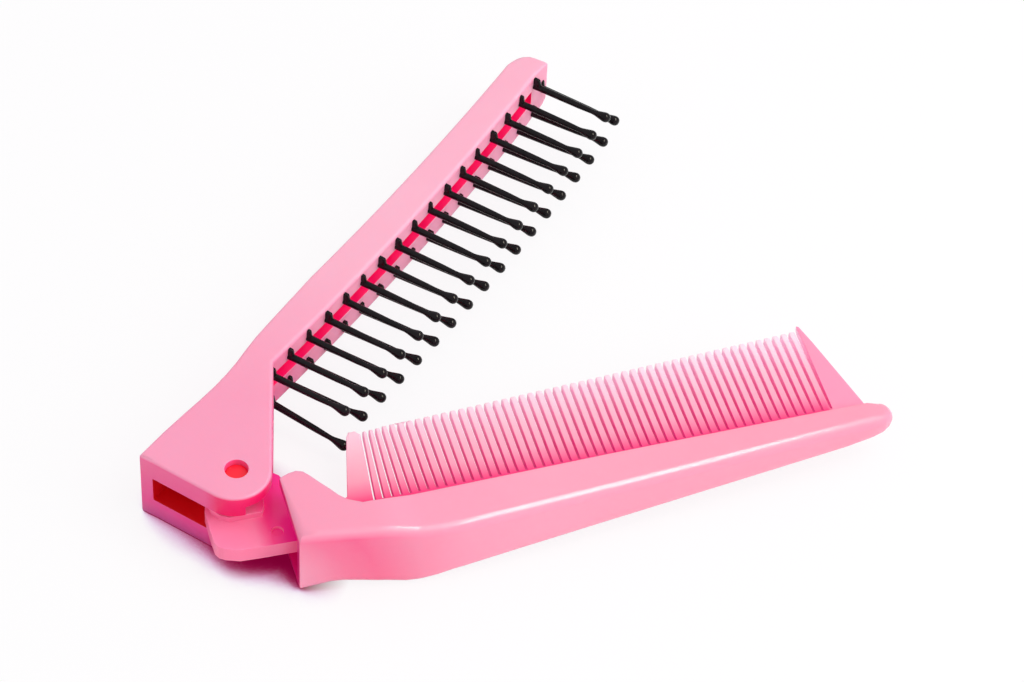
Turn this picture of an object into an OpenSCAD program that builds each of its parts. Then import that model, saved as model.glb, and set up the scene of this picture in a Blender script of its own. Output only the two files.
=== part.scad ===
// Folding pocket brush and comb: two arms that close on one hinge pin.
// Millimetres, +Z up. The hinge axis is the Z axis and the hinge ends rest on z = 0.
// The comb arm lies along +X with its teeth towards +Y. The brush arm is drawn
// along +X with its bristles towards -Y, then turned about the hinge by open_angle.

/* [Pose] */
// angle between the two arms
open_angle = 41.6; // [2:0.2:180]

/* [Hinge] */
// height of both hinge ends
thick = 15; // [12:0.5:18]
// diameter of the hinge pin
pin_d = 4.2; // [3:0.1:5]
// how far the pin's end lies below the top face
pin_recess = 1.2; // [0.5:0.1:2]
// clearance between pin and tongue on the radius
run_gap = 0.08; // [0.02:0.01:0.1]
// height of the slot between the brush's two cheeks
slot_h = 5.6; // [4:0.1:7]

/* [Brush arm] */
// distance from the hinge axis to the brush tip
brush_len = 119.3; // [100:0.1:130]
// distance of the spine from the hinge line
spine_y = 15.2; // [13:0.1:18]
// distance of the front face from the hinge line at its middle
front_y = 7.65; // [6:0.05:9]
// radius of the bowed front face
bow_r = 748; // [400:1:2000]
// height of the underside along the arm
under_z = 2; // [0:0.1:4]
// height of the groove in the front face
groove_h = 3.1; // [1:0.1:4]
// depth of that groove
groove_d = 4.5; // [2:0.1:6]
// radius of the rounded lower edge of the spine
spine_round = 3.2; // [1:0.1:4]
// radius of the rounded lower edge of the front
front_round = 2.1; // [0.5:0.1:2.2]

/* [Bristles] */
// bristles in each row
per_row = 17; // [5:1:20]
// distance between bristles
bristle_pitch = 5.66; // [4:0.02:8]
// length from the front face to the centre of the ball
bristle_len = 16.15; // [8:0.05:20]
// diameter of the shaft
shaft_d = 1.2; // [0.8:0.05:2]
// diameter of the ball
ball_d = 1.95; // [1.2:0.05:3]

/* [Comb arm] */
// distance between teeth
tooth_pitch = 1.65; // [1.2:0.01:2.5]
// number of teeth between the two guard teeth
teeth = 52; // [20:1:60]
// tooth length at the hinge
tooth_len = 16.1; // [10:0.1:20]
// extra tooth length at the tip
tooth_grow = 3.85; // [0:0.1:6]
// top face of the comb plate
plate_top = 9.12; // [8:0.02:10]
// thickness of the comb plate at the roots
plate_t = 2; // [1.5:0.1:3]
// radius of the handle's rounded lower edge
comb_low_round = 2.3; // [1:0.1:4]
// radius of the handle's rounded upper edge
comb_top_round = 1.9; // [0.5:0.1:2.5]

/* [Hidden] */
function two(n) = str(n < 10 ? "0" : "", n);
function upper(i) = str("upper_bristle_", two(i));
function lower(i) = str("lower_bristle_", two(i));
$fn = 48;
over = 2;                        // how far cutters run past a face
mid_z = thick / 2;
pin_r = pin_d / 2;
slot_z = mid_z - slot_h / 2;

// comb arm
gap0_x = 23.02;                  // middle of the first gap
root_y = -8.34;                  // line of the tooth roots
gap_root = 0.46;
gap_tip = 0.47;
tooth_blunt = 0.35;              // length of the narrowed tooth end
tooth_tip_w = 0.8;
fan_teeth = 5;                   // gaps nearest the hinge that lean over
fan_x = 1.7;                     // how far the first of them leans at its end
plate_tip_t = 1.55;              // thickness at the tooth tips
last_x = gap0_x + teeth * tooth_pitch;
tongue_z = [5.15, 8.35];
pad_z = [5.0, 9.6];             // boss that fills the slot round the pin
guard_left = [[18.5, -6.3], [21.9, 7.3], [22.5, 8.2]];
guard_tip = [109.3, 12.6];
guard_out = [115.1, -8.9];
lip = [[19.6, -12.9], [65, -11.05], [114.6, -9.8]];
grip = 2.6;                      // depth of the blade's edge inside the casing
hollow_x = 21;
wall = 2;
spine_wall = 1.7;
comb_over = [[6.7, 15], [22, 15], [28, 14.1], [65, 12.5], [110, 10.9], [115, 10.65], [117.4, 10.4],
    [118.7, 9.9], [119.5, 9.2], [119.8, 8.6]];
comb_under = [[6.7, 0], [27, 0], [30, 0.4], [34, 0.75], [65, 2.3], [88, 3.65], [110, 4.7], [115, 5.1],
    [117.4, 5.7], [118.7, 6.4], [119.5, 7.2], [119.8, 7.8]];
comb_low_edge = [[6.7, -18.25, 0], [27.5, -21.6, 0], [31, -21.9, 0.45], [110.4, -15.3, 4.7]];
comb_top_edge = [[6.7, -18.25, 15], [27.5, -21.6, 15], [28, -21.6, 14.1], [110.4, -15.3, 10.9]];
comb_plan = [
    [6.7, -4.2], [7.3, -3.7], [10.0, -2.9], [11.2, -3.5], [12.2, -4.65], [14.8, -8.3],
    [16.9, -11.2], [19.6, -12.9], [65, -11.05], [114.6, -9.8], [118.0, -9.6], [119.2, -10.1],
    [119.75, -11.1], [119.8, -12.4], [119.2, -13.5], [117.9, -14.3], [115.6, -14.8], [110.4, -15.3], [64.8, -19.3],
    [36, -21.7], [31, -21.9], [27.5, -21.6], [12.3, -19.2], [6.7, -18.25]
];

// brush arm, in its own directions
lobe_r = 6.6;
end_x = -7.2;
end_crease = [-7.05, 12.2];      // where the end face turns slightly
lobe_x = end_x + lobe_r;
front_start = [23.55, 9.05];
bow_x = 69;
bow_y = front_y + bow_r;
lobe_steps = 24;
lobe_to = sqrt(pow(front_start.x - lobe_x, 2) + pow(front_start.y, 2));
lobe_turn = atan2(front_start.y, front_start.x - lobe_x) - acos(lobe_r / lobe_to);
upper_z = 12.27;
lower_z = 4.93;
upper_rise = 0.3;
lower_rise = 1.3;
first_rise = -1.75;              // the lower bristle nearest the hinge droops
first_x = 23.61;
lower_back = 0.21;               // how far the lower row is set back towards the hinge
tip_x = 117.1;
tip_z = 9.3;
tip_rise = -1.3;
tip_swing = 5;                   // outward lean of the tip bristle, degrees
socket = 2;                      // depth of a bristle's root in the casing
fin_in = 0.8;                    // depth of its upright fin
fin_h = 2.1;
groove_z = 8.2;
neck_x = 17.5;                   // the narrowest place behind the hinge end
neck_y = 14.4;
sliver = 0.04;                   // rounding cutters overlap the faces by this much
slot_right = 9.6;
slot_wall_y = 13.7;

function front_at(x) = bow_y - sqrt(pow(bow_r, 2) - pow(x - bow_x, 2));
function lobe_at(i) = let (a = lobe_turn - i * (180 + lobe_turn) / lobe_steps)
    [lobe_x + lobe_r * cos(a), lobe_r * sin(a)];
function fin_out(i) = 0.8 + 0.9 * (i * 7 % 10) / 9;

// ---------- comb arm ----------

function gap_x(i) = gap0_x + i * tooth_pitch;
function gap_end_x(i) = gap_x(i) + fan_x * pow(max(0, 1 - i / fan_teeth), 1.5);
function tooth(i) = let (
    x0 = gap_end_x(i) + gap_tip / 2,
    x1 = gap_end_x(i + 1) - gap_tip / 2,
    mid = (x0 + x1) / 2,
    half = min(tooth_tip_w, x1 - x0 - 0.1) / 2,
    tip_y = root_y + tooth_len + tooth_grow * (i + 0.5) / teeth
) [
    [gap_x(i) + gap_root / 2, root_y],
    [x0, tip_y - tooth_blunt],
    [mid - half, tip_y],
    [mid + half, tip_y],
    [x1, tip_y - tooth_blunt],
    [gap_x(i + 1) - gap_root / 2, root_y]
];

// guard tooth, comb teeth, tip guard and the web behind them, as one outline
module comb_outline() {
    polygon(concat(
        [[16.5, -7.2]],
        guard_left,
        [[23.6, 8.2], [gap_end_x(0) - gap_tip / 2, 7.3], [gap0_x - gap_root / 2, root_y]],
        [for (i = [0:teeth - 1]) each tooth(i)],
        [
            [last_x + gap_root / 2, root_y],
            [last_x + gap_root / 2 + 0.1, guard_tip.y - 1.2],
            guard_tip,
            guard_tip + [0.45, -0.1],
            guard_out,
            [114.6, lip[2].y - grip],
            [65, lip[1].y - grip],
            [hollow_x, lip[0].y - grip],
            [16.5, -12.8]
        ]
    ));
}

// thickness of the plate from the web to the tooth tips, seen along +X
module plate_side() {
    polygon([
        [-20, plate_top],
        [8, plate_top],
        [14, plate_top - 0.35],
        [14, plate_top - plate_tip_t],
        [8, plate_top - plate_tip_t - 0.15],
        [root_y, plate_top - plate_t],
        [-20, plate_top - plate_t]
    ]);
}

module comb_plate() {
    intersection() {
        linear_extrude(thick) comb_outline();
        rotate([90, 0, 90]) linear_extrude(brush_len + over) plate_side();
    }
}

module tongue_outline() {
    circle(r = 5.7);
    polygon([
        [-5.7, 0], [-6.5, -2.6], [-6.6, -7], [-6.5, -10.2], [-6.0, -11.2], [-5.0, -11.9],
        [-2.6, -12.8], [1.3, -13.05], [7.4, -13.25], [18.2, -13.25], [18.2, -7.2], [13, -6.4],
        [10.4, -4.0], [9.3, -1.0], [8.2, 2.15], [6.45, 3.8], [4.2, 4.5], [0, 5.7]
    ]);
}

module pad_outline() {
    polygon([
        [-5.6, 1], [-5.9, -1.5], [-5.5, -3.6], [-4.4, -5.3], [-2.9, -6.2], [3.0, -6.35],
        [3.7, -4.9], [4.0, -3.1], [3.7, 3], [0, 5.4], [-3.4, 4.5]
    ]);
}

module comb_blade() {
    color([0.98, 0.5, 0.62])
    difference() {
        union() {
            comb_plate();
            translate([0, 0, tongue_z[0]]) linear_extrude(tongue_z[1] - tongue_z[0]) tongue_outline();
            translate([0, 0, pad_z[0]]) linear_extrude(pad_z[1] - pad_z[0]) pad_outline();
        }
        cylinder(r = pin_r + run_gap, h = thick);
        translate([4.8, -10.3, tongue_z[1] - 0.6]) cylinder(d = 2.2, h = over);
    }
}

// cutter that rounds the edge running along +X at y = 0, z = 0 of a block on its +Y, +Z side
module edge_cutter(r, length) {
    rotate([90, 0, 90]) linear_extrude(length) difference() {
        translate([-over, -over]) square(r + over);
        translate([r - sliver, r - sliver]) circle(r = r);
    }
}

// the same cutter along the line from a to b, for a lower edge or, with flip, an upper one
module round_line(a, b, r, flip = 0, back = over, ahead = over) {
    d = b - a;
    run = norm([d.x, d.y]);
    translate(a) rotate([0, -atan2(d.z, run), atan2(d.y, d.x)]) mirror([0, 0, flip])
        translate([-back, 0, 0]) edge_cutter(r, norm(d) + back + ahead);
}

module casing_block() {
    difference() {
        intersection() {
            linear_extrude(thick) polygon(comb_plan);
            rotate([90, 0, 0]) linear_extrude(30) polygon(concat(
                comb_over, [for (i = [len(comb_under) - 1:-1:0]) comb_under[i]]
            ));
        }
        round_line(comb_low_edge[0], comb_low_edge[1], comb_low_round, 0, over, 3.4);
        round_line(comb_low_edge[2], comb_low_edge[3], comb_low_round, 0, 3, 12);
        round_line(comb_top_edge[0], comb_top_edge[1], comb_top_round, 1, over, 0.6);
        round_line(comb_top_edge[2], comb_top_edge[3], comb_top_round, 1, 0, 12);
    }
}

// the hollow hinge end, open towards the hinge and the teeth
module casing_hollow() {
    translate([0, 0, wall]) linear_extrude(thick - 2 * wall) polygon([
        [6.7 - over, -18.2 + spine_wall], [12.3, -19.2 + spine_wall],
        [hollow_x, -20.6 + spine_wall], [hollow_x, -11],
        [18, 0], [6.7 - over, 0]
    ]);
}

module blade_slot() {
    translate([0, 0, plate_top - plate_t]) linear_extrude(plate_t) polygon([
        [hollow_x - 0.5, lip[0].y - grip], [hollow_x, lip[0].y - grip], [65, lip[1].y - grip],
        [114.6, lip[2].y - grip], [115.3, -9], [115.3, -5], [hollow_x - 0.5, -5]
    ]);
}

module comb_casing() {
    color([1.0, 0.68, 0.78])
    difference() {
        casing_block();
        casing_hollow();
        blade_slot();
    }
}

// ---------- brush arm ----------

module brush_outline() {
    intersection() {
        polygon([
            end_crease, [end_x + 0.05, 16.1], [4, 15.4], [14, 14.5], [neck_x, neck_y], [21.5, 14.55],
            [28, spine_y], [114.8, spine_y], [116.4, 14.8], [117.7, 14.05], [118.6, 13.0], [119.1, 11.9],
            [brush_len, 10.7], [brush_len - 0.1, 9.8], [brush_len - 0.6, 9.2], [60, 5.6],
            [24, front_start.y - 0.2], front_start, each [for (i = [0:lobe_steps]) lobe_at(i)]
        ]);
        union() {
            translate([end_x, -10]) square([front_start.x - end_x, 30]);
            translate([bow_x, bow_y]) circle(r = bow_r, $fn = 720);
        }
    }
}

// underside and tip rounding, seen from the side
module brush_side() {
    polygon([
        [-8, thick], [brush_len - 1, thick], [brush_len - 0.3, thick - 0.4], [brush_len, thick - 1.2],
        [brush_len, 7.6], [118.8, 5.8], [117.6, 4.2], [115.8, 2.9], [113.6, 2.2], [112, under_z],
        [23, under_z], [19, 1.3], [9, 0], [-8, 0]
    ]);
}

// cutters for the rounded lower edges of the spine: one up to the neck, one beyond it
module spine_edges() {
    mirror([0, 1, 0]) {
        round_line([end_x, -16.1, 0], [neck_x, -neck_y, 0], spine_round, 0, over, 0);
        round_line([neck_x, -spine_y, under_z], [brush_len, -spine_y, under_z], spine_round, 0, 0, over);
    }
}

// cutter for the rounded lower edge of the bowed front
module front_edge() {
    intersection() {
        translate([bow_x, bow_y, under_z]) rotate_extrude($fn = 720) difference() {
            translate([bow_r - front_round, -over]) square(front_round + over);
            translate([bow_r - front_round + sliver, front_round - sliver]) circle(r = front_round, $fn = 48);
        }
        translate([front_start.x + 0.6, 0, 0]) cube([100, 15, thick]);
    }
}

module brush_groove() {
    translate([0, 0, groove_z]) linear_extrude(groove_h) difference() {
        translate([21.2, 0]) square([92, bow_y - bow_r + groove_d + 3]);
        translate([bow_x, bow_y]) circle(r = bow_r - groove_d, $fn = 720);
    }
}

module hinge_slot() {
    translate([end_x - over, -10, slot_z]) cube([slot_right - end_x + over, 10 + slot_wall_y, slot_h]);
}

module fin_cut() {
    translate([-0.5, -1.5, 0]) cube([1, 1.5 + fin_in, fin_h]);
}

module sockets(z, shift) {
    for (i = [0:per_row - 1]) {
        x = first_x + shift + i * bristle_pitch;
        translate([x, front_at(x), z]) {
            rotate([-90, 0, 0]) cylinder(d = shaft_d, h = socket);
            fin_cut();
        }
    }
}

module at_rest() {
    rotate([0, 0, open_angle]) children();
}

module brush_casing() {
    color([1.0, 0.7, 0.8])
    at_rest() difference() {
        intersection() {
            linear_extrude(thick) brush_outline();
            translate([0, 20, 0]) rotate([90, 0, 0]) linear_extrude(40) brush_side();
        }
        spine_edges();
        front_edge();
        brush_groove();
        hinge_slot();
        translate([0, 0, pin_recess]) cylinder(r = pin_r, h = thick);
        sockets(upper_z, 0);
        sockets(lower_z, -lower_back);
        translate([tip_x, front_at(tip_x), tip_z]) {
            rotate([-90, 0, tip_swing]) cylinder(d = shaft_d, h = socket);
            fin_cut();
        }
    }
}

module hinge_pin() {
    color([0.85, 0.05, 0.2])
    translate([0, 0, pin_recess]) cylinder(r = pin_r, h = thick - 2 * pin_recess);
}

// shaft, neck and ball, revolved about the bristle's own axis
module bristle_profile() {
    r = ball_d / 2;
    neck = bristle_len - 3.4;
    polygon([
        [0, -socket], [shaft_d / 2, -socket], [shaft_d / 2, neck],
        [0.74, bristle_len - 1.9], [r * cos(30), bristle_len - r * sin(30)],
        [r, bristle_len], [r * cos(30), bristle_len + r * 0.5], [r * 0.5, bristle_len + r * cos(30)],
        [0, bristle_len + r]
    ]);
}

// a bristle rooted at x on the front face, its far end raised by rise
module bristle(x, z, rise, fin, swing = 0) {
    color([0.06, 0.05, 0.06])
    at_rest() translate([x, front_at(x), z]) {
        rotate([90 - atan(rise / bristle_len), 0, swing])
            rotate_extrude($fn = 24) bristle_profile();
        translate([-0.5, -fin, 0]) cube([1, fin + fin_in, fin_h]);
    }
}

module tip_bristle() {
    bristle(tip_x, tip_z, tip_rise, 0.9, tip_swing);
}

comb_casing();
comb_blade();
brush_casing();
hinge_pin();
tip_bristle();
for (i = [1:per_row]) {
    bristle(first_x + (i - 1) * bristle_pitch, upper_z, upper_rise, fin_out(i));
    bristle(
            first_x - lower_back + (i - 1) * bristle_pitch,
            lower_z,
            i == 1 ? first_rise : lower_rise,
            fin_out(i + 4)
        );
}
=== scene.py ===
"""Looks of the folding pocket brush and comb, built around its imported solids."""

import math

import bmesh
import bpy
from mathutils import Matrix, Vector


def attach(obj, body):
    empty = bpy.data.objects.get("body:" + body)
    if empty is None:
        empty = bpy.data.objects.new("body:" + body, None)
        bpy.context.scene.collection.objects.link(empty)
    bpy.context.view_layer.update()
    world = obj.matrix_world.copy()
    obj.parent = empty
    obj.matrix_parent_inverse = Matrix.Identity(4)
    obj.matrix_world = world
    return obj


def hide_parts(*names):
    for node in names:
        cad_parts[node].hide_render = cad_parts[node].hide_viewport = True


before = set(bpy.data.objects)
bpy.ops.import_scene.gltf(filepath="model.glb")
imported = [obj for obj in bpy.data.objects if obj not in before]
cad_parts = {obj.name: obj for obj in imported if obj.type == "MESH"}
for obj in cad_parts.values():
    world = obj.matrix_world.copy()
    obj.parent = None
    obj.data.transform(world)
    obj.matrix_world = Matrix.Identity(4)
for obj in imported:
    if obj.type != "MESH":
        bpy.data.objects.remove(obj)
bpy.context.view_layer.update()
scene = bpy.context.scene

# Sizes are in mm. Each arm is shaped along x, with the hinge's axis at the origin and the floor at z = 0.
MM = 0.001
THICK = 15.0
BRUSH_LEN, BRUSH_END_X = 119.3, -7.2
COMB_LEN, COMB_END_X = 119.2, 6.7
OPEN_ANGLE = math.radians(41.6)
COMB = Matrix.Scale(MM, 4)
BRUSH = Matrix.Rotation(OPEN_ANGLE, 4, "Z") @ COMB

# ---------------------------------------------------------------- shader nodes


def feed(tree, value, socket):
    """Links an output to a socket, or writes a plain value there."""
    if isinstance(value, bpy.types.NodeSocket):
        tree.links.new(value, socket)
    else:
        socket.default_value = (*value, 1) if socket.type == "RGBA" else value


def add_node(tree, kind, inputs, **settings):
    """A node with its settings, and its inputs by name or number."""
    node = tree.nodes.new("ShaderNode" + kind)
    for name, setting in settings.items():
        setattr(node, name, setting)
    for key, value in inputs.items():
        feed(tree, value, node.inputs[key])
    return node


def coordinate(tree, kind="Object"):
    return tree.nodes.new("ShaderNodeTexCoord").outputs[kind]


def noise(tree, waves, detail, rough=0.5):
    """Noise on object coordinates, in waves per metre."""
    inputs = {"Vector": coordinate(tree), "Scale": waves, "Detail": detail, "Roughness": rough}
    return add_node(tree, "TexNoise", inputs).outputs["Fac"]


def clouds(tree):
    return noise(tree, 38.0, 4.0, 0.55)


def stretch(tree, value, low, high, start=0.0, end=1.0):
    """Value mapped from low..high to start..end, and held outside."""
    inputs = {"Value": value, "From Min": low, "From Max": high, "To Min": start, "To Max": end}
    return add_node(tree, "MapRange", inputs).outputs["Result"]


def spread(tree, value, low, high):
    """Noise, which is mostly from 0.3 to 0.7, stretched to low..high."""
    return stretch(tree, value, 0.3, 0.7, low, high)


def ramp(tree, value, stops):
    """A colour ramp over value, from (position, colour) stops."""
    node = add_node(tree, "ValToRGB", {"Fac": value})
    elements = node.color_ramp.elements
    while len(elements) < len(stops):
        elements.new(0.5)
    for element, (position, color) in zip(elements, stops):
        element.position = position
        element.color = (*color, 1)
    return node.outputs["Color"]


def ramp_over(tree, length, stops):
    """A colour ramp over a length in metres, from (mm, colour) stops."""
    low, high = stops[0][0], stops[-1][0]
    share = stretch(tree, length, low * MM, high * MM)
    return ramp(tree, share, [((mm - low) / (high - low), color) for mm, color in stops])


def grey_over(tree, length, stops):
    """A grey ramp over a length in metres, from (mm, share) stops."""
    return ramp_over(tree, length, [(mm, (share, share, share)) for mm, share in stops])


def along_axis(tree, axis, kind="Object"):
    """One axis of the object's coordinates in metres, or of the surface's normal."""
    return add_node(tree, "SeparateXYZ", {0: coordinate(tree, kind)}).outputs[axis]


def past(tree, axis, start, end):
    """0 up to start and 1 from end on, along an object axis and in mm; the end may be the lower one."""
    return stretch(tree, along_axis(tree, axis), start * MM, end * MM)


def reach_from(tree, centre=(0, 0, 0)):
    """Distance in metres from a point given in mm; from the foot of the hinge's axis, if none is given."""
    inputs = {0: coordinate(tree), 1: Vector(centre) * MM}
    return add_node(tree, "VectorMath", inputs, operation="DISTANCE").outputs["Value"]


def calculate(tree, operation, *values):
    return add_node(tree, "Math", dict(enumerate(values)), operation=operation).outputs[0]


def sideways(tree):
    """0 on faces that look up or down, 1 on the sides."""
    return stretch(tree, calculate(tree, "ABSOLUTE", along_axis(tree, "Z", "Normal")), 0.85, 0.25)


def blend(tree, share, first, second):
    """Mixes two colours, each a value or a socket, by share."""
    return add_node(tree, "Mix", {"Factor": share, 6: first, 7: second}, data_type="RGBA").outputs[2]


def tinted(tree, color, tint):
    return add_node(tree, "VectorMath", {0: color, 1: tint}, operation="MULTIPLY").outputs[0]


# ---------------------------------------------------------------- materials

RELIEF = 0.03 * MM
SUBSURFACE_DEPTH = 2 * MM
# The first is the plastic's random cloudy tone; the second is painted shade, for the comb casing's end face
# in the hinge's shadow.
CLOUD_PINK, END_SHADE_MAGENTA = (0.92, 0.2, 0.34), (0.72, 0.0, 0.18)


def shader(name, color, roughness, coat=0.0, subsurface=0.0, radius=(1.0, 0.3, 0.4)):
    """A Principled material, its node tree and its shader node."""
    material = bpy.data.materials.new(name)
    material.use_nodes = True
    tree = material.node_tree
    surface = tree.nodes["Principled BSDF"]
    settings = {
        "Base Color": color,
        "Roughness": roughness,
        "Coat Weight": coat,
        "Coat Roughness": 0.07,
        "Subsurface Weight": subsurface,
        "Subsurface Radius": radius,
        "Subsurface Scale": SUBSURFACE_DEPTH,
    }
    for socket, value in settings.items():
        feed(tree, value, surface.inputs[socket])
    return material, tree, surface


def skin(tree, surface, low, high, fine=900.0, peel=(420.0, 3.0, 0.6)):
    """Roughness between low and high in fine noise, and the faint relief of moulded plastic."""
    feed(tree, spread(tree, noise(tree, fine, 2.0), low, high), surface.inputs["Roughness"])
    relief = add_node(tree, "Bump", {"Height": noise(tree, *peel), "Distance": RELIEF})
    feed(tree, relief.outputs["Normal"], surface.inputs["Normal"])


def moulded(name, pale, deep, roughness, subsurface, glow):
    """Glossy plastic, cloudy between two tones; the glow stands for the light that it lets through."""
    material, tree, surface = shader(name, pale, roughness, coat=0.12, subsurface=subsurface)
    feed(tree, pale, surface.inputs["Emission Color"])
    feed(tree, glow, surface.inputs["Emission Strength"])
    tone = ramp(tree, clouds(tree), [(0.25, deep), (0.75, pale)])
    feed(tree, tone, surface.inputs["Base Color"])
    skin(tree, surface, roughness - 0.05, roughness + 0.08)
    return material


def casing_plastic(name, tones, side, side_shade_share, coat, gloss, end=None):
    """Casing plastic, in tones by their distance from the hinge in mm.

    The side faces take the side colour, a painted shade, by the side share, also by distance.
    With an end in mm, the face that looks to the hinge at that x is painted magenta, for the shade that falls
    on it.
    """
    material, tree, surface = shader(name, tones[0][1], 0.42, coat=coat, subsurface=0.3)
    feed(tree, gloss, surface.inputs["Specular IOR Level"])
    reach = reach_from(tree)
    share = calculate(tree, "MULTIPLY", sideways(tree), grey_over(tree, reach, side_shade_share))
    tone = blend(tree, share, ramp_over(tree, reach, tones), side(tree))
    tone = blend(tree, spread(tree, clouds(tree), 0.0, 0.12), tone, CLOUD_PINK)
    if end:
        tone = blend(tree, past(tree, "X", end + 0.05, end + 0.15), END_SHADE_MAGENTA, tone)
    feed(tree, tone, surface.inputs["Base Color"])
    skin(tree, surface, 0.37, 0.5)
    return material


# Painted shade for the brush casing's sides: darker and more purple towards the floor, and deep crimson on
# the front of the hinge lobe.
def brush_side_shade(tree):
    upward = ramp_over(tree, along_axis(tree, "Z"), [
        (0, (0.64, 0.10, 0.34)), (3.75, (0.92, 0.06, 0.32)), (12, (0.95, 0.10, 0.32)),
    ])
    return blend(tree, past(tree, "Y", -3.5, -5.5), upward, (0.95, 0.0, 0.14))


# Painted shade for the comb casing's sides, a deeper pink than its top.
def comb_side_shade(tree):
    return ramp_over(tree, along_axis(tree, "Z"), [(0, (0.95, 0.15, 0.30)), (15, (0.95, 0.09, 0.27))])


def blade_plastic():
    """Clearer plastic.

    It is painted magenta at the tongue's root, for the comb casing's shade there, hot pink at the teeth's
    roots for their shade and pale at their tips for the light that comes through them.
    """
    material, tree, surface = shader(
        "blade_pink", (0.95, 0.3, 0.45), 0.38, coat=0.25, subsurface=0.2, radius=(1.0, 0.45, 0.7)
    )
    # A faint painted glow, for the light that the plastic lets through.
    feed(tree, (0.9, 0.0, 0.3), surface.inputs["Emission Color"])
    feed(tree, 0.12, surface.inputs["Emission Strength"])
    tongue_top_shade = ramp_over(tree, along_axis(tree, "X"), [
        (1, (0.95, 0.24, 0.40)), (3.6, (0.94, 0.03, 0.22)), (7, (0.90, 0.0, 0.27)),
    ])
    teeth_top_shading = ramp_over(tree, along_axis(tree, "Y"), [
        (-8.4, (0.90, 0.03, 0.18)), (-6, (0.95, 0.20, 0.33)), (-3.6, (0.95, 0.35, 0.45)),
        (2.4, (0.95, 0.49, 0.57)), (7, (0.95, 0.62, 0.71)), (10, (0.94, 0.72, 0.80)),
    ])
    teeth_side_shade = ramp_over(tree, along_axis(tree, "Y"), [
        (-8.4, (0.84, 0.016, 0.34)), (-3, (0.90, 0.10, 0.42)),
        (4, (0.92, 0.34, 0.58)), (10, (0.92, 0.64, 0.78)),
    ])
    teeth_top_shading = blend(tree, past(tree, "X", 108.2, 109.2), teeth_top_shading, (0.95, 0.30, 0.44))
    # The side faces of the tongue and teeth take a deeper painted shade.
    tongue = blend(tree, sideways(tree), tongue_top_shade, (0.95, 0.2, 0.35))
    teeth = blend(tree, sideways(tree), teeth_top_shading, teeth_side_shade)
    tone = blend(tree, past(tree, "X", 17, 18.5), tongue, teeth)
    feed(tree, tone, surface.inputs["Base Color"])
    skin(tree, surface, 0.32, 0.46)
    return material


def black_plastic():
    material, tree, surface = shader("bristle_black", (0.006, 0.004, 0.006), 0.2)
    feed(tree, 0.2, surface.inputs["Specular IOR Level"])
    streaks = ramp(tree, noise(tree, 700.0, 3.0), [
        (0.3, (0.003, 0.002, 0.003)), (0.75, (0.010, 0.006, 0.009)),
    ])
    feed(tree, streaks, surface.inputs["Base Color"])
    skin(tree, surface, 0.12, 0.24, 1500.0, (1100.0, 2.0))
    return material


# The brush's sides take their painted shade fully near the hinge and less past 36 mm; the comb's sides take
# it most at its bend, 25 to 29 mm out.
BRUSH_CASING = casing_plastic(
    "brush_casing_pink",
    [(22, (0.95, 0.35, 0.52)), (55, (0.95, 0.46, 0.60))],
    brush_side_shade,
    [(0, 1.0), (15, 1.0), (20, 0.88), (36, 0.28), (125, 0.28)],
    coat=0.1, gloss=0.3,
)
COMB_CASING = casing_plastic(
    "comb_casing_pink",
    [(22, (0.95, 0.33, 0.49)), (55, (0.95, 0.36, 0.50)), (80, (0.95, 0.34, 0.47)), (115, (0.95, 0.31, 0.44))],
    comb_side_shade,
    [(20, 0.0), (25, 0.8), (29, 1.0), (36, 0.4), (44, 0.15), (120, 0.15)],
    coat=0.35, gloss=0.5, end=COMB_END_X,
)
# Painted shade: the groove between the bristle rows is a deep hot pink, the shade inside it; its glow stands
# for light let through.
GROOVE_SHADE = moulded(
    "groove_shade_pink", (0.95, 0.0, 0.16), (0.86, 0.0, 0.13), roughness=0.5, subsurface=0.1, glow=0.12
)
# Painted shade: the slot and the notch at the hinge are dark red, the shade inside them.
HINGE_SHADE_RED = moulded(
    "hinge_slot_shade_red", (0.64, 0.0, 0.005), (0.54, 0.0, 0.004), roughness=0.45, subsurface=0.1, glow=0.12
)
# Painted shade: the inside of the comb casing's hollow end is dark magenta, the shade inside it.
HOLLOW_SHADE = moulded(
    "hollow_shade_magenta", (0.75, 0.004, 0.2), (0.64, 0.0, 0.15), roughness=0.45, subsurface=0.2, glow=0.08
)
# Painted shade: the pin's end, sunk in its hole, is red with the shade there.
PIN_SHADE = moulded(
    "pin_shade_red", (0.90, 0.0, 0.03), (0.80, 0.0, 0.02), roughness=0.4, subsurface=0.1, glow=0.15
)
BLADE = blade_plastic()
BLACK = black_plastic()

# ---------------------------------------------------------------- mesh helpers


def outward(bm):
    """Turns every face of a closed piece to the outside."""
    bmesh.ops.recalc_face_normals(bm, faces=bm.faces)
    if bm.calc_volume(signed=True) < 0:
        bmesh.ops.reverse_faces(bm, faces=bm.faces)
    return bm


def slab(outline, low, high):
    """A plan outline extruded from low to high."""
    bm = bmesh.new()
    base = bm.faces.new([bm.verts.new((x, y, low)) for x, y in outline])
    bm.normal_update()
    lifted = bmesh.ops.extrude_face_region(bm, geom=[base])
    top = [v for v in lifted["geom"] if isinstance(v, bmesh.types.BMVert)]
    bmesh.ops.translate(bm, verts=top, vec=(0, 0, high - low))
    return outward(bm)


def box(left, right, front, back, low, high):
    return slab([(left, front), (right, front), (right, back), (left, back)], low, high)


def arc(centre, radius, start, turn, steps):
    """Points on an arc that begins at the angle start and goes through turn, both in radians."""
    angles = [start + turn * i / steps for i in range(steps + 1)]
    return [(centre[0] + radius * math.cos(a), centre[1] + radius * math.sin(a)) for a in angles]


def cut_loops(bm, places):
    """Edge loops across the piece at these x."""
    for x in places:
        bmesh.ops.bisect_plane(
            bm,
            geom=bm.verts[:] + bm.edges[:] + bm.faces[:],
            plane_co=(x, 0, 0),
            plane_no=(1, 0, 0),
            dist=1e-4,
        )


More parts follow.
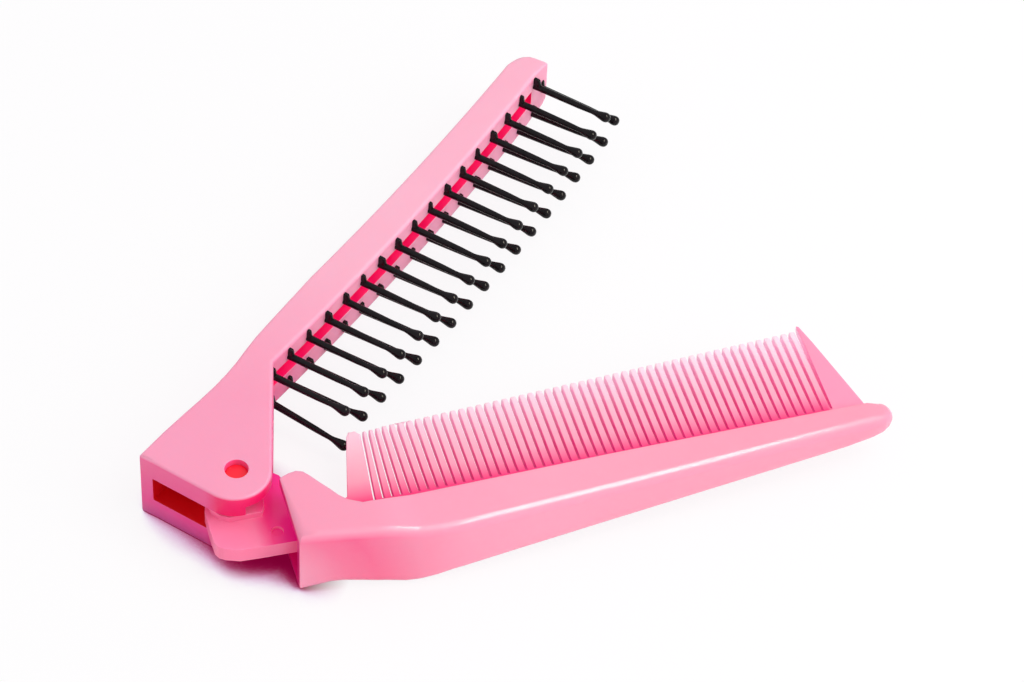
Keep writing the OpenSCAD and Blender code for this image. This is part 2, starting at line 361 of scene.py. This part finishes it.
def between(x, table):
    """Straight-line reading of a table of (x, value) pairs, held outside it."""
    for (x0, v0), (x1, v1) in zip(table, table[1:]):
        if x <= x1:
            return v0 + (v1 - v0) * max(0.0, x - x0) / (x1 - x0)
    return table[-1][1]


def inset_ways(outline):
    """The unit inward direction at each corner of a plan outline, lengthened at its mitres."""
    count = len(outline)
    area = sum(a[0] * b[1] - b[0] * a[1] for a, b in zip(outline, outline[1:] + outline[:1]))
    side = 1 if area > 0 else -1
    ways = []
    for i, corner in enumerate(outline):
        before = (Vector(corner) - Vector(outline[i - 1])).normalized()
        after = (Vector(outline[(i + 1) % count]) - Vector(corner)).normalized()
        way = Vector((-before.y - after.y, before.x + after.x)) * side
        way.normalize()
        ways.append(way / max(0.5, way.dot(Vector((-before.y, before.x)) * side)))
    return ways


def rounded_slab(outline, rims, steps):
    """A slab of the full thickness; rims(x, y) gives the lower and the upper rim radius at a corner."""
    ways = inset_ways(outline)
    radii = [rims(x, y) for x, y in outline]
    turns = [math.pi / 2 * k / steps for k in range(steps + 1)]

    def level(turn, upper):
        spots = []
        for (x, y), way, pair in zip(outline, ways, radii):
            r = pair[upper]
            into = way * r * (1 - math.sin(turn))
            rise = r * (1 - math.cos(turn))
            spots.append((x + into.x, y + into.y, THICK - rise if upper else rise))
        return spots

    levels = [level(turn, 0) for turn in turns] + [level(turn, 1) for turn in reversed(turns)]
    bm = bmesh.new()
    rim = [bm.verts.new(spot) for spot in levels[0]]
    bm.faces.new(rim)
    edges = bm.edges[:]
    for spots in levels[1:]:
        made = bmesh.ops.extrude_edge_only(bm, edges=edges)["geom"]
        fresh = {item for item in made if isinstance(item, bmesh.types.BMVert)}
        edges = [e for e in made if isinstance(e, bmesh.types.BMEdge) and set(e.verts) <= fresh]
        rim = [next(e.other_vert(v) for e in v.link_edges if e.other_vert(v) in fresh) for v in rim]
        for v, spot in zip(rim, spots):
            v.co = spot
    bm.faces.new(rim)
    return outward(bm)


def place(bm, matrix, name, material):
    """Turns a bmesh into an object; the matrix takes it to metres in the object's frame."""
    bmesh.ops.transform(bm, matrix=matrix, verts=bm.verts)
    mesh = bpy.data.meshes.new(name)
    bm.to_mesh(mesh)
    bm.free()
    mesh.materials.append(material)
    obj = bpy.data.objects.new(name, mesh)
    scene.collection.objects.link(obj)
    return obj


def cad_copy(node, material, reshape=None):
    """A merged copy of a CAD node's mesh, as its own object."""
    bm = bmesh.new()
    bm.from_mesh(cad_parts[node].data)
    bmesh.ops.remove_doubles(bm, verts=bm.verts, dist=1e-6)
    bmesh.ops.dissolve_limit(
        bm, angle_limit=math.radians(0.4), verts=bm.verts, edges=bm.edges, use_dissolve_boundaries=False
    )
    if reshape:
        reshape(bm)
    return place(outward(bm), Matrix.Identity(4), node + "_moulding", material)


def bevel(bm, edges, width, segments):
    bmesh.ops.bevel(
        bm, geom=edges, offset=width, offset_type="OFFSET", segments=segments, profile=0.5,
        affect="EDGES", material=-1,
    )


def round_edges(obj, width, segments, angle):
    """Rounds the edges that turn by more than angle, in degrees."""
    mod = obj.modifiers.new("edges", "BEVEL")
    mod.width = width * MM
    mod.segments = segments
    mod.limit_method = "ANGLE"
    mod.angle_limit = math.radians(angle)
    mod.use_clamp_overlap = False


def carve(obj, cutter):
    """Cuts cutter out of obj; the cut faces keep the cutter's material."""
    mod = obj.modifiers.new("cut", "BOOLEAN")
    mod.operation = "DIFFERENCE"
    mod.solver = "EXACT"
    mod.material_mode = "TRANSFER"
    mod.object = cutter


def settle(obj, cutters=(), crease=32):
    """Applies the modifiers, removes the cutters and shades the piece smooth up to its creases."""
    bpy.context.view_layer.update()
    graph = bpy.context.evaluated_depsgraph_get()
    mesh = bpy.data.meshes.new_from_object(obj.evaluated_get(graph), depsgraph=graph)
    obj.modifiers.clear()
    obj.data = mesh
    mesh.name = obj.name
    for cutter in cutters:
        bpy.data.objects.remove(cutter)
    for polygon in mesh.polygons:
        polygon.use_smooth = True
    mesh.set_sharp_from_angle(angle=math.radians(crease))
    normals = obj.modifiers.new("flat_faces", "WEIGHTED_NORMAL")
    normals.keep_sharp = True
    normals.weight = 100


def finish(obj, body, node):
    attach(obj, body)
    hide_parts(node)


# ---------------------------------------------------------------- brush casing

LOBE_R = 6.6
NECK = (23.55, 9.05)
SPINE_Y = 15.2
SPINE_BOW, SPINE_MID_X, SPINE_HALF = 0.75, 80, 34
FACE_Y, FACE_MID_X, FACE_R = 7.65, 69.0, 748.0
FACE_END_X, FACE_STEP, FACE_POINTS = 114.5, 2.9, 32
BRUSH_EDGE = 0.22
# x, and how far the underside is raised there
BRUSH_UNDER = [
    (-10, 0), (9, 0), (16, 0.75), (20, 1.6), (23, 2), (112, 2), (113.6, 2.2), (115.8, 2.9), (117.6, 4.2),
    (118.8, 5.8), (BRUSH_LEN, 7.6),
]
# x, and how far the top is lowered there
BRUSH_DROP = [(117.0, 0.0), (118.3, 0.1), (118.8, 0.35), (BRUSH_LEN, 0.9)]
# x, and the spine's lower rim radius there
SPINE_RIM = [(-6.7, 0.5), (-3, 3.2)]
SLOT_X, SLOT_FRONT, SLOT_BACK, SLOT_Z = 9.6, -12, 13.2, (4.7, 10.3)
NOTCH_X, NOTCH_BACK, NOTCH_Z = -4.6, -2.7, (10.0, 12.4)
GROOVE_X, GROOVE_LEN, GROOVE_DEPTH, GROOVE_Z = 21.2, 92.0, 4.5, (8.2, 11.3)
PIN_HOLE_R, PIN_HOLE_FOOT = 2.1, 1.2


def face_at(x):
    """The y of the bristles' face, a shallow arc that stands out most at FACE_MID_X."""
    return FACE_Y + FACE_R - math.sqrt(FACE_R**2 - (x - FACE_MID_X) ** 2)


def brush_outline():
    """The plan: hinge end, spine, tip, bristles' face and the lobe round the pin, which the neck meets."""
    end = [
        (BRUSH_END_X + 0.12, 11.5), (BRUSH_END_X + 0.15, 12.4), (BRUSH_END_X + 0.05, 15.2),
        (BRUSH_END_X + 0.12, 15.8), (BRUSH_END_X + 0.5, 16.08),
    ]
    waist = [
        (-3, 15.9), (0, 15.75), (5, 15.3), (10, 14.8), (14, 14.5), (17.5, 14.42), (21, 14.55), (24, 14.85),
        (28, 15.15), (33, SPINE_Y), (40, SPINE_Y),
    ]
    spine = [
        (x, SPINE_Y - SPINE_BOW * (1 - ((x - SPINE_MID_X) / SPINE_HALF) ** 2)) for x in range(46, 115, 4)
    ]
    tip = [
        (115.8, 15.0), (116.7, 14.65), (117.7, 14.05), (118.6, 13.0), (119.1, 11.9), (BRUSH_LEN, 10.7),
        (BRUSH_LEN, 9.7), (119.1, 9.1), (118.5, 8.8),
    ]
    face = [(x, face_at(x)) for x in (FACE_END_X - FACE_STEP * i for i in range(FACE_POINTS))]
    centre = (BRUSH_END_X + LOBE_R, 0)
    run, rise = NECK[0] - centre[0], NECK[1]
    touch = math.atan2(rise, run) - math.acos(LOBE_R / math.hypot(run, rise))
    lobe = arc(centre, LOBE_R, touch, -math.pi - touch, steps=28)
    return end + waist + spine + tip + face + lobe


def brush_rims(x, y):
    """Lower and upper rim radius at the tip, along the spine, along the bristles and round the hinge."""
    if x > FACE_END_X:
        return (0.6, 0.5) if y < 10.3 else (1.5, 1.1)
    if y > 13.5:
        return between(x, SPINE_RIM), 0.6
    return (2.2, 0.8) if x > NECK[0] else (0.5, 0.6)


def brush_block():
    bm = rounded_slab(brush_outline(), brush_rims, steps=5)
    cut_loops(bm, [x for x, _ in BRUSH_UNDER[1:-1] + BRUSH_DROP[:-1]])
    for v in bm.verts:
        share = v.co.z / THICK
        v.co.z += (1 - share) * between(v.co.x, BRUSH_UNDER) - share * between(v.co.x, BRUSH_DROP)
    return place(bm, BRUSH, "brush_arm_casing", BRUSH_CASING)


def groove_cutter():
    """The groove along the bristles' face, between the two rows."""
    xs = [GROOVE_X + GROOVE_LEN * i / 30 for i in range(31)]
    floor = [(x, face_at(x) + GROOVE_DEPTH) for x in xs]
    return place(slab(floor + [(x, 0) for x in reversed(xs)], *GROOVE_Z), BRUSH, "groove_cutter", GROOVE_SHADE)


def slot_cutter():
    """The slot that the comb's tongue turns in."""
    room = box(BRUSH_END_X - 2, SLOT_X, SLOT_FRONT, SLOT_BACK, *SLOT_Z)
    return place(room, BRUSH, "slot_cutter", HINGE_SHADE_RED)


def notch_cutter():
    """The step that frees the tongue's pad under the upper cheek."""
    room = box(NOTCH_X, SLOT_X, SLOT_FRONT, NOTCH_BACK, *NOTCH_Z)
    return place(room, BRUSH, "notch_cutter", HINGE_SHADE_RED)


def pin_cutter():
    circle = arc((0, 0), PIN_HOLE_R, 0, 2 * math.pi, steps=48)[:-1]
    return place(slab(circle, PIN_HOLE_FOOT, THICK + 5), BRUSH, "pin_cutter", BRUSH_CASING)


def brush_casing():
    casing = brush_block()
    cutters = [groove_cutter(), slot_cutter(), notch_cutter(), pin_cutter()]
    for cutter in cutters:
        carve(casing, cutter)
    round_edges(casing, BRUSH_EDGE, segments=2, angle=50)
    settle(casing, cutters)
    finish(casing, "brush_arm", "brush_casing")


brush_casing()

# ---------------------------------------------------------------- hinge pin

PIN_EDGE = 0.3


def hinge_pin():
    pin = cad_copy("hinge_pin", PIN_SHADE)
    round_edges(pin, PIN_EDGE, segments=3, angle=40)
    settle(pin)
    pin.name = "hinge_pin_stud"
    finish(pin, "brush_arm", "hinge_pin")


hinge_pin()

# ---------------------------------------------------------------- comb casing

COMB_EDGE = 0.2
WALL = 2.0
# x, and the height of the top there
COMB_OVER = [
    (COMB_END_X, THICK), (21, THICK), (23, 14.85), (25.5, 14.5), (28, 14.1), (32, 13.9), (65, 12.5),
    (110, 10.9), (115.0, 10.65), (117.4, 10.35), (COMB_LEN, 9.9),
]
# x, and the height of the underside there
COMB_UNDER = [
    (COMB_END_X, 0.1), (10.5, 0.45), (14.5, 0.9), (18, 0.75), (22, 0.45), (25.5, 0.0), (28.5, 0.2),
    (31, 0.65), (34, 1.05), (65, 2.65), (88, 3.75), (110, 4.7), (115, 5.3), (117.4, 6.15), (COMB_LEN, 7.1),
]
# The plan, from the hinge end along the teeth, round the tip and back along the outer side
COMB_PLAN = [
    (COMB_END_X, -4.2), (6.9, -3.85), (7.4, -3.6), (8.6, -3.15), (10.0, -2.9), (11.2, -3.4), (12.2, -4.65),
    (13.5, -6.6), (14.8, -8.4), (15.9, -10.1), (17.2, -11.5), (19.6, -12.8), (22.5, -12.85),
    (65, -11.05), (115, -9.75), (117, -9.65), (118, -9.85), (118.7, -10.4), (119.1, -11.2),
    (COMB_LEN, -12.1), (119.0, -13.0), (118.3, -13.8), (117, -14.4), (115, -14.8), (110, -15.3),
    (88, -17.3), (64.8, -19.3), (46, -20.9), (36, -21.7), (31, -21.88), (27.5, -21.6), (20, -20.45),
    (12.3, -19.2), (COMB_END_X, -18.25),
]
HOLLOW_PLAN = [
    (COMB_END_X - 2, -16.5), (12.3, -17.5), (21, -18.9), (21, -11), (18, 0), (COMB_END_X - 2, 0),
]
# x, and the lower or the upper rim radius there
OUTER_RIM = [(6, 1.6), (12, 3.2), (16, 2.8), (22, 2.0), (30, 2.0), (40, 2.4), (115, 2.1)]
TIP_LOWER_RIM = [(115.4, 1.9), (117.4, 1.5), (COMB_LEN, 1.3)]
TIP_UPPER_RIM = [(115.4, 1.6), (COMB_LEN, 1.2)]


def comb_rims(x, y):
    """Lower and upper rim radius at the tip, along the outer side and along the teeth."""
    if x > 115.1:
        return between(x, TIP_LOWER_RIM), between(x, TIP_UPPER_RIM)
    if y < -13:
        return between(x, OUTER_RIM), 1.9
    return 0.35, 0.35


def comb_block():
    bm = rounded_slab(COMB_PLAN, comb_rims, steps=6)
    cut_loops(bm, [x for x, _ in COMB_OVER[1:-1] + COMB_UNDER[1:-1]])
    for v in bm.verts:
        if v.co.z > THICK / 2:
            v.co.z -= THICK - between(v.co.x, COMB_OVER)
        else:
            v.co.z += between(v.co.x, COMB_UNDER)
    return place(bm, COMB, "comb_arm_casing", COMB_CASING)


def comb_casing():
    casing = comb_block()
    hollow = place(slab(HOLLOW_PLAN, WALL, THICK - WALL), COMB, "hollow_cutter", HOLLOW_SHADE)
    carve(casing, hollow)
    round_edges(casing, COMB_EDGE, segments=2, angle=60)
    settle(casing, [hollow])
    finish(casing, "comb_arm", "comb_casing")


comb_casing()

# ---------------------------------------------------------------- comb blade

TEETH_X = (22.0, 109.2)
TEETH_ROOT_Y = -8.4
TEETH_MIDDLE_Z = 8.4
TOOTH_EDGE, BLADE_EDGE = 0.27, 0.12


def soften_teeth(bm):
    """Rounds the upper edges of the comb's teeth."""
    edges = []
    for e in bm.edges:
        middle = (e.verts[0].co + e.verts[1].co) / MM / 2
        front = min(v.co.y for v in e.verts) / MM
        low = min(v.co.z for v in e.verts) / MM
        past_roots = front > TEETH_ROOT_Y and middle.y > TEETH_ROOT_Y + 0.2
        on_top = TEETH_X[0] < middle.x < TEETH_X[1] and past_roots and low > TEETH_MIDDLE_Z
        if on_top and e.is_convex and e.calc_face_angle(0) > math.radians(40):
            edges.append(e)
    bevel(bm, edges, TOOTH_EDGE * MM, segments=3)


def comb_blade():
    blade = cad_copy("comb_blade", BLADE, soften_teeth)
    round_edges(blade, BLADE_EDGE, segments=2, angle=50)
    settle(blade)
    finish(blade, "comb_arm", "comb_blade")


comb_blade()

# ---------------------------------------------------------------- bristles

PER_ROW, PITCH, FIRST_X = 17, 5.66, 23.61
UPPER_Z, LOWER_Z = 12.27, 4.93
UPPER_RISE, LOWER_RISE, FIRST_RISE = 0.3, 1.15, -1.75
LOWER_BACK = 0.21
TIP_PIN_X, TIP_PIN_Z, TIP_PIN_RISE = 117.1, 9.3, -1.3
BALL_AT, BALL_R = 16.15, 0.975
# The pin's radius, and how far from the bristles' face it has it
PROFILE = [
    (0.50, -2.0), (0.60, -1.8), (0.68, 0.0), (0.66, 1.5), (0.63, 6.0), (0.58, 10.5), (0.50, 12.6),
    (0.48, 13.3), (0.54, 13.9), (0.68, 14.6), (0.83, 15.3), (0.94, 15.8), (BALL_R, BALL_AT),
    (0.93, 16.5), (0.78, 16.8), (0.52, 17.03), (0.22, 17.115),
]
FIN_WIDTH, FIN_HEIGHT, FIN_ROOT, FIN_LIFT, FIN_EDGE = 0.9, 2.6, 0.8, 0.8, 0.22


def fin_out(i):
    """How far a fin stands out, from 0.8 to 1.7, unevenly along the row."""
    return 0.8 + 0.9 * (i * 7 % 10) / 9


def lathed_pin():
    """The pin with its long neck and its ball, upright on its root."""
    bm = bmesh.new()
    line = [bm.verts.new((0, 0, PROFILE[0][1]))]
    line += [bm.verts.new((r, 0, h)) for r, h in PROFILE]
    line.append(bm.verts.new((0, 0, BALL_AT + BALL_R)))
    edges = [bm.edges.new(pair) for pair in zip(line, line[1:])]
    bmesh.ops.spin(
        bm, geom=line + edges, axis=(0, 0, 1), cent=(0, 0, 0), angle=2 * math.pi, steps=20, use_merge=True
    )
    bmesh.ops.remove_doubles(bm, verts=bm.verts, dist=1e-4)
    return bm


def add_fin(bm, out):
    """The upright fin at the root, narrower at its upper front."""
    foot = bmesh.ops.create_cube(bm, size=1.0)["verts"]
    bmesh.ops.scale(bm, vec=(FIN_WIDTH, out + FIN_ROOT, FIN_HEIGHT), verts=foot)
    bmesh.ops.translate(bm, vec=(0, (FIN_ROOT - out) / 2, FIN_LIFT), verts=foot)
    for v in foot:
        if v.co.y < 0 and v.co.z > 1:
            v.co.y *= 0.7
            v.co.x *= 0.75
    bevel(bm, list({e for v in foot for e in v.link_edges}), FIN_EDGE, segments=2)


def bristle(name, node, x, z, rise, fin, swing=0.0):
    """A pin with its fin; its ball is higher than its root by rise, and it's turned by swing degrees."""
    bm = lathed_pin()
    lean = Matrix.Rotation(math.radians(90) - math.atan(rise / BALL_AT), 4, "X")
    turn = Matrix.Rotation(math.radians(swing), 4, "Z")
    bmesh.ops.transform(bm, matrix=turn @ lean, verts=bm.verts)
    add_fin(bm, fin)
    bmesh.ops.translate(bm, vec=(x, face_at(x), z), verts=bm.verts)
    obj = place(outward(bm), BRUSH, name, BLACK)
    settle(obj, crease=45)
    finish(obj, "brush_arm", node)


def bristles():
    for i in range(1, PER_ROW + 1):
        x = FIRST_X + (i - 1) * PITCH
        bristle(f"upper_pin_{i:02d}", f"upper_bristle_{i:02d}", x, UPPER_Z, UPPER_RISE, fin_out(i))
        rise = FIRST_RISE if i == 1 else LOWER_RISE
        x -= LOWER_BACK
        bristle(f"lower_pin_{i:02d}", f"lower_bristle_{i:02d}", x, LOWER_Z, rise, fin_out(i + 4))
    bristle("tip_pin", "tip_bristle", TIP_PIN_X, TIP_PIN_Z, TIP_PIN_RISE, fin=0.9, swing=5.0)


bristles()

# ---------------------------------------------------------------- stage, light and camera

FLOOR_TINT, FLOOR_GLOW_TINT = (0.94, 0.98, 0.95), (1, 0.985, 0.998)
FLOOR_GLOW_SHARE = 0.87
SHADOW_CENTRE, SHADOW_INNER, SHADOW_OUTER = (-6, -6, 0), 17, 25
SHADOW_REACH = 14
FLOOR_HALF = 3000.0
WORLD_LEVEL = 0.7
FOCAL_PX, PICTURE_PX, SENSOR = 3900.0, 1024.0, 36.0


def white_floor():
    """White, with a lilac contact shadow round the hinge and a deep pink one right under the plastic."""
    material, tree, surface = shader("floor_white", FLOOR_TINT, 0.7)
    feed(tree, 0.1, surface.inputs["Specular IOR Level"])
    near = add_node(tree, "AmbientOcclusion", {"Distance": SHADOW_REACH * MM}, samples=16)
    contact = ramp(tree, near.outputs["AO"], [
        (0.25, (0.22, 0.0, 0.035)), (0.42, (0.34, 0.01, 0.08)), (0.5, (0.62, 0.22, 0.42)),
        (0.58, (0.86, 0.72, 0.91)), (0.69, (1, 1, 1)),
    ])
    away = stretch(tree, reach_from(tree, SHADOW_CENTRE), SHADOW_INNER * MM, SHADOW_OUTER * MM)
    tone = blend(tree, away, contact, (1, 1, 1))
    feed(tree, tinted(tree, tone, FLOOR_TINT), surface.inputs["Base Color"])
    glow = add_node(tree, "Emission", {"Color": tinted(tree, tone, FLOOR_GLOW_TINT), "Strength": 1.0})
    seen = tree.nodes.new("ShaderNodeLightPath").outputs["Is Camera Ray"]
    share = calculate(tree, "MULTIPLY", seen, FLOOR_GLOW_SHARE)
    mix = add_node(tree, "MixShader", {0: share, 1: surface.outputs[0], 2: glow.outputs[0]})
    feed(tree, mix.outputs[0], tree.nodes["Material Output"].inputs["Surface"])
    return material


def stage_floor():
    bm = bmesh.new()
    bmesh.ops.create_grid(bm, x_segments=2, y_segments=2, size=FLOOR_HALF)
    place(bm, COMB, "floor", white_floor())


def studio_world():
    world = bpy.data.worlds.new("studio")
    world.use_nodes = True
    background = world.node_tree.nodes["Background"]
    background.inputs["Color"].default_value = (1, 1, 1, 1)
    background.inputs["Strength"].default_value = WORLD_LEVEL
    scene.world = world


def lamp(name, spot, target, size, power, color=(1, 1, 1)):
    """A rectangular lamp; spot and target are in mm, its size in metres and its power in watts."""
    light = bpy.data.lights.new(name, "AREA")
    light.shape = "RECTANGLE"
    light.size, light.size_y = size
    light.energy = power
    light.color = color
    obj = bpy.data.objects.new(name, light)
    at = Vector(spot) * MM
    aim = (Vector(target) * MM - at).to_track_quat("-Z", "Y")
    obj.matrix_world = Matrix.Translation(at) @ aim.to_matrix().to_4x4()
    scene.collection.objects.link(obj)
    return obj


def lamps():
    """Two soft lamps that leave no highlight, and a strip that gives the comb's edge its white line only."""
    lamp("key", (380, -120, 600), (50, 20, 0), (0.5, 0.5), 1.75).visible_glossy = False
    lamp("right", (620, -400, 270), (60, 0, 8), (0.5, 0.5), 2.0).visible_glossy = False
    strip = lamp("strip", (305, -120, 600), (305, -15, 12), (0.134, 0.5), 4.4, (1, 0.95, 0.75))
    strip.visible_diffuse = False


def camera():
    """The camera, from its place in mm and its right, down and forward directions."""
    at = Vector((-97.06, -434.853, 539.259)) * MM
    right = Vector((0.958863, -0.281517, 0.036461))
    down = Vector((-0.185, -0.717146, -0.67192))
    ahead = Vector((0.215305, 0.637534, -0.739726))
    data = bpy.data.cameras.new("camera")
    data.sensor_width = SENSOR
    data.lens = FOCAL_PX * SENSOR / PICTURE_PX
    data.clip_start = 0.01
    data.clip_end = 20.0
    obj = bpy.data.objects.new("camera", data)
    turn = Matrix((right, -down, -ahead)).transposed()
    obj.matrix_world = Matrix.Translation(at) @ turn.to_4x4()
    scene.collection.objects.link(obj)
    scene.camera = obj


stage_floor()
studio_world()
lamps()
camera()
scene.view_settings.view_transform = "Standard"
